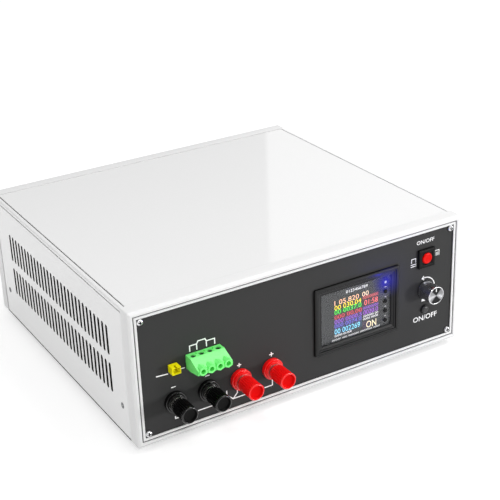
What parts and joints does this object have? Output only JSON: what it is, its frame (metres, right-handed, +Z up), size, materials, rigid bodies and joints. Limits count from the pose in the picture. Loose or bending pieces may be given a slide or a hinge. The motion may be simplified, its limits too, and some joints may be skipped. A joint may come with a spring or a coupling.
{
  "type": "battery discharge meter",
  "caption": "Bench battery discharge meter: vented white case, recessed dark panel with colour screen, keys, knob, push switch, binding posts and terminal block.",
  "frame": {"origin": "on the ground under the middle of the whole object, between the front of the post caps and the rear bezel's rim", "axes": "+Z up, -Y is the front with the panel, +X to the right as seen from the front"},
  "size_m": [0.2722, 0.2732, 0.1072],
  "materials": {
    "bezel_abs": "satin moulded white",
    "cover_steel": "fine white powder coat",
    "tray_steel": "zinc-plated sheet, light grey",
    "foot_rubber": "matt black",
    "panel_black": "matt dark grey coat",
    "rear_black": "matt dark grey coat",
    "screw_steel": "bright cross-recess heads",
    "screen_surround_black": "satin black",
    "window_acrylic": "clear polished",
    "lcd_glass": "dark display glass",
    "board_green": "solder-masked board",
    "key_black": "matt black",
    "switch_nylon": "matt black moulding",
    "button_red": "satin red",
    "encoder_zinc": "zinc die casting",
    "shaft_steel": "turned steel",
    "knob_aluminium": "dark anodised, spun face",
    "start_button_black": "matt black",
    "start_switch_black": "matt black moulding",
    "terminal_green": "satin green",
    "clamp_zinc": "zinc-plated",
    "header_yellow": "satin yellow",
    "post_black": "gloss black",
    "post_red": "gloss red",
    "stud_nickel": "nickel-plated brass",
    "insert_brass": "bright turned brass",
    "sink_aluminium": "plain extruded",
    "transistor_epoxy": "moulded epoxy",
    "supply_aluminium": "folded sheet",
    "fan_frame_black": "moulded black",
    "fan_rotor_black": "moulded black",
    "inlet_nylon": "moulded black"
  },
  "bodies": {
    "instrument": {"front_bezel": "bezel_abs", "rear_bezel": "bezel_abs", "top_cover": "cover_steel", "base_tray": "tray_steel", "front_panel": "panel_black", "rear_panel": "rear_black", "rubber_foot_1": "foot_rubber", "panel_screw_1": "screw_steel", "rubber_foot_2": "foot_rubber", "panel_screw_2": "screw_steel", "rubber_foot_3": "foot_rubber", "panel_screw_3": "screw_steel", "rubber_foot_4": "foot_rubber", "panel_screw_4": "screw_steel", "screen_bezel": "screen_surround_black", "screen_window": "window_acrylic", "lcd_panel": "lcd_glass", "display_board": "board_green", "power_switch_body": "switch_nylon", "encoder_body": "encoder_zinc", "start_switch": "start_switch_black", "terminal_block": "terminal_green", "probe_header": "header_yellow", "post_collar_1": "post_black", "post_stud_1": "stud_nickel", "post_collar_2": "post_black", "post_stud_2": "stud_nickel", "post_collar_3": "post_red", "post_stud_3": "stud_nickel", "post_collar_4": "post_red", "post_stud_4": "stud_nickel", "main_board": "board_green", "heatsink": "sink_aluminium", "transistor_bar": "transistor_epoxy", "power_supply": "supply_aluminium", "fan_frame_1": "fan_frame_black", "fan_frame_2": "fan_frame_black", "inlet_body": "inlet_nylon"},
    "power_button_body": {"power_button": "button_red"},
    "start_button_body": {"start_button": "start_button_black"},
    "encoder_shaft_body": {"encoder_shaft": "shaft_steel"},
    "tuning_knob_body": {"tuning_knob": "knob_aluminium"},
    "fan_rotor_1_body": {"fan_rotor_1": "fan_rotor_black"},
    "fan_rotor_2_body": {"fan_rotor_2": "fan_rotor_black"},
    "screen_button_1_body": {"screen_button_1": "key_black"},
    "terminal_screw_1_body": {"terminal_screw_1": "clamp_zinc"},
    "post_insert_1_body": {"post_insert_1": "insert_brass"},
    "post_cap_1_body": {"post_cap_1": "post_black"},
    "screen_button_2_body": {"screen_button_2": "key_black"},
    "terminal_screw_2_body": {"terminal_screw_2": "clamp_zinc"},
    "post_insert_2_body": {"post_insert_2": "insert_brass"},
    "post_cap_2_body": {"post_cap_2": "post_black"},
    "screen_button_3_body": {"screen_button_3": "key_black"},
    "terminal_screw_3_body": {"terminal_screw_3": "clamp_zinc"},
    "post_insert_3_body": {"post_insert_3": "insert_brass"},
    "post_cap_3_body": {"post_cap_3": "post_red"},
    "screen_button_4_body": {"screen_button_4": "key_black"},
    "terminal_screw_4_body": {"terminal_screw_4": "clamp_zinc"},
    "post_insert_4_body": {"post_insert_4": "insert_brass"},
    "post_cap_4_body": {"post_cap_4": "post_red"}
  },
  "joints": [
    {"name": "power_press", "type": "slide", "parent": "instrument", "child": "power_button_body", "axis": [0, 1, 0], "range_m": [0, 0.0015], "stiffness_N_per_m": 800},
    {"name": "start_press", "type": "slide", "parent": "instrument", "child": "start_button_body", "axis": [0, 1, 0], "range_m": [0, 0.0005], "stiffness_N_per_m": 1500},
    {"name": "screen_key_1_press", "type": "slide", "parent": "instrument", "child": "screen_button_1_body", "axis": [0, 1, 0], "range_m": [0, 0.0004], "stiffness_N_per_m": 1500},
    {"name": "screen_key_2_press", "type": "slide", "parent": "instrument", "child": "screen_button_2_body", "axis": [0, 1, 0], "range_m": [0, 0.0004], "stiffness_N_per_m": 1500},
    {"name": "screen_key_3_press", "type": "slide", "parent": "instrument", "child": "screen_button_3_body", "axis": [0, 1, 0], "range_m": [0, 0.0004], "stiffness_N_per_m": 1500},
    {"name": "screen_key_4_press", "type": "slide", "parent": "instrument", "child": "screen_button_4_body", "axis": [0, 1, 0], "range_m": [0, 0.0004], "stiffness_N_per_m": 1500},
    {"name": "knob_press", "type": "slide", "parent": "instrument", "child": "encoder_shaft_body", "axis": [0, 1, 0], "range_m": [0, 0.0005], "stiffness_N_per_m": 2500},
    {"name": "knob_turn", "type": "hinge", "parent": "encoder_shaft_body", "child": "tuning_knob_body", "pos_m": [0.1049, -0.1214, 0.0547], "axis": [0, -1, 0], "continuous": true},
    {"name": "post_1_travel", "type": "slide", "parent": "instrument", "child": "post_insert_1_body", "axis": [0, -1, 0], "range_m": [0, 0.004]},
    {"name": "post_1_turn", "type": "hinge", "parent": "post_insert_1_body", "child": "post_cap_1_body", "pos_m": [-0.1065, -0.1287, 0.0323], "axis": [0, -1, 0], "range_deg": [0, 1800]},
    {"name": "post_2_travel", "type": "slide", "parent": "instrument", "child": "post_insert_2_body", "axis": [0, -1, 0], "range_m": [0, 0.004]},
    {"name": "post_2_turn", "type": "hinge", "parent": "post_insert_2_body", "child": "post_cap_2_body", "pos_m": [-0.081, -0.1287, 0.0323], "axis": [0, -1, 0], "range_deg": [0, 1800]},
    {"name": "post_3_travel", "type": "slide", "parent": "instrument", "child": "post_insert_3_body", "axis": [0, -1, 0], "range_m": [0, 0.004]},
    {"name": "post_3_turn", "type": "hinge", "parent": "post_insert_3_body", "child": "post_cap_3_body", "pos_m": [-0.0555, -0.1287, 0.0323], "axis": [0, -1, 0], "range_deg": [0, 1800]},
    {"name": "post_4_travel", "type": "slide", "parent": "instrument", "child": "post_insert_4_body", "axis": [0, -1, 0], "range_m": [0, 0.004]},
    {"name": "post_4_turn", "type": "hinge", "parent": "post_insert_4_body", "child": "post_cap_4_body", "pos_m": [-0.03, -0.1287, 0.0323], "axis": [0, -1, 0], "range_deg": [0, 1800]},
    {"name": "terminal_1_screw", "type": "hinge", "parent": "instrument", "child": "terminal_screw_1_body", "pos_m": [-0.09262, -0.1182, 0.0617], "axis": [0, 0, 1], "range_deg": [0, 1440]},
    {"name": "terminal_2_screw", "type": "hinge", "parent": "instrument", "child": "terminal_screw_2_body", "pos_m": [-0.08628, -0.1182, 0.0617], "axis": [0, 0, 1], "range_deg": [0, 1440]},
    {"name": "terminal_3_screw", "type": "hinge", "parent": "instrument", "child": "terminal_screw_3_body", "pos_m": [-0.07992, -0.1182, 0.0617], "axis": [0, 0, 1], "range_deg": [0, 1440]},
    {"name": "terminal_4_screw", "type": "hinge", "parent": "instrument", "child": "terminal_screw_4_body", "pos_m": [-0.07358, -0.1182, 0.0617], "axis": [0, 0, 1], "range_deg": [0, 1440]},
    {"name": "fan_1_spin", "type": "hinge", "parent": "instrument", "child": "fan_rotor_1_body", "pos_m": [-0.0815, 0.1166, 0.0561], "axis": [0, 1, 0], "continuous": true},
    {"name": "fan_2_spin", "type": "hinge", "parent": "instrument", "child": "fan_rotor_2_body", "pos_m": [0.0005, 0.1166, 0.0561], "axis": [0, 1, 0], "continuous": true}
  ],
  "couplings": [
    {"joint": "post_1_turn", "follows": "post_1_travel", "rad_per_m": 7854},
    {"joint": "post_2_turn", "follows": "post_2_travel", "rad_per_m": 7854},
    {"joint": "post_3_turn", "follows": "post_3_travel", "rad_per_m": 7854},
    {"joint": "post_4_turn", "follows": "post_4_travel", "rad_per_m": 7854}
  ]
}
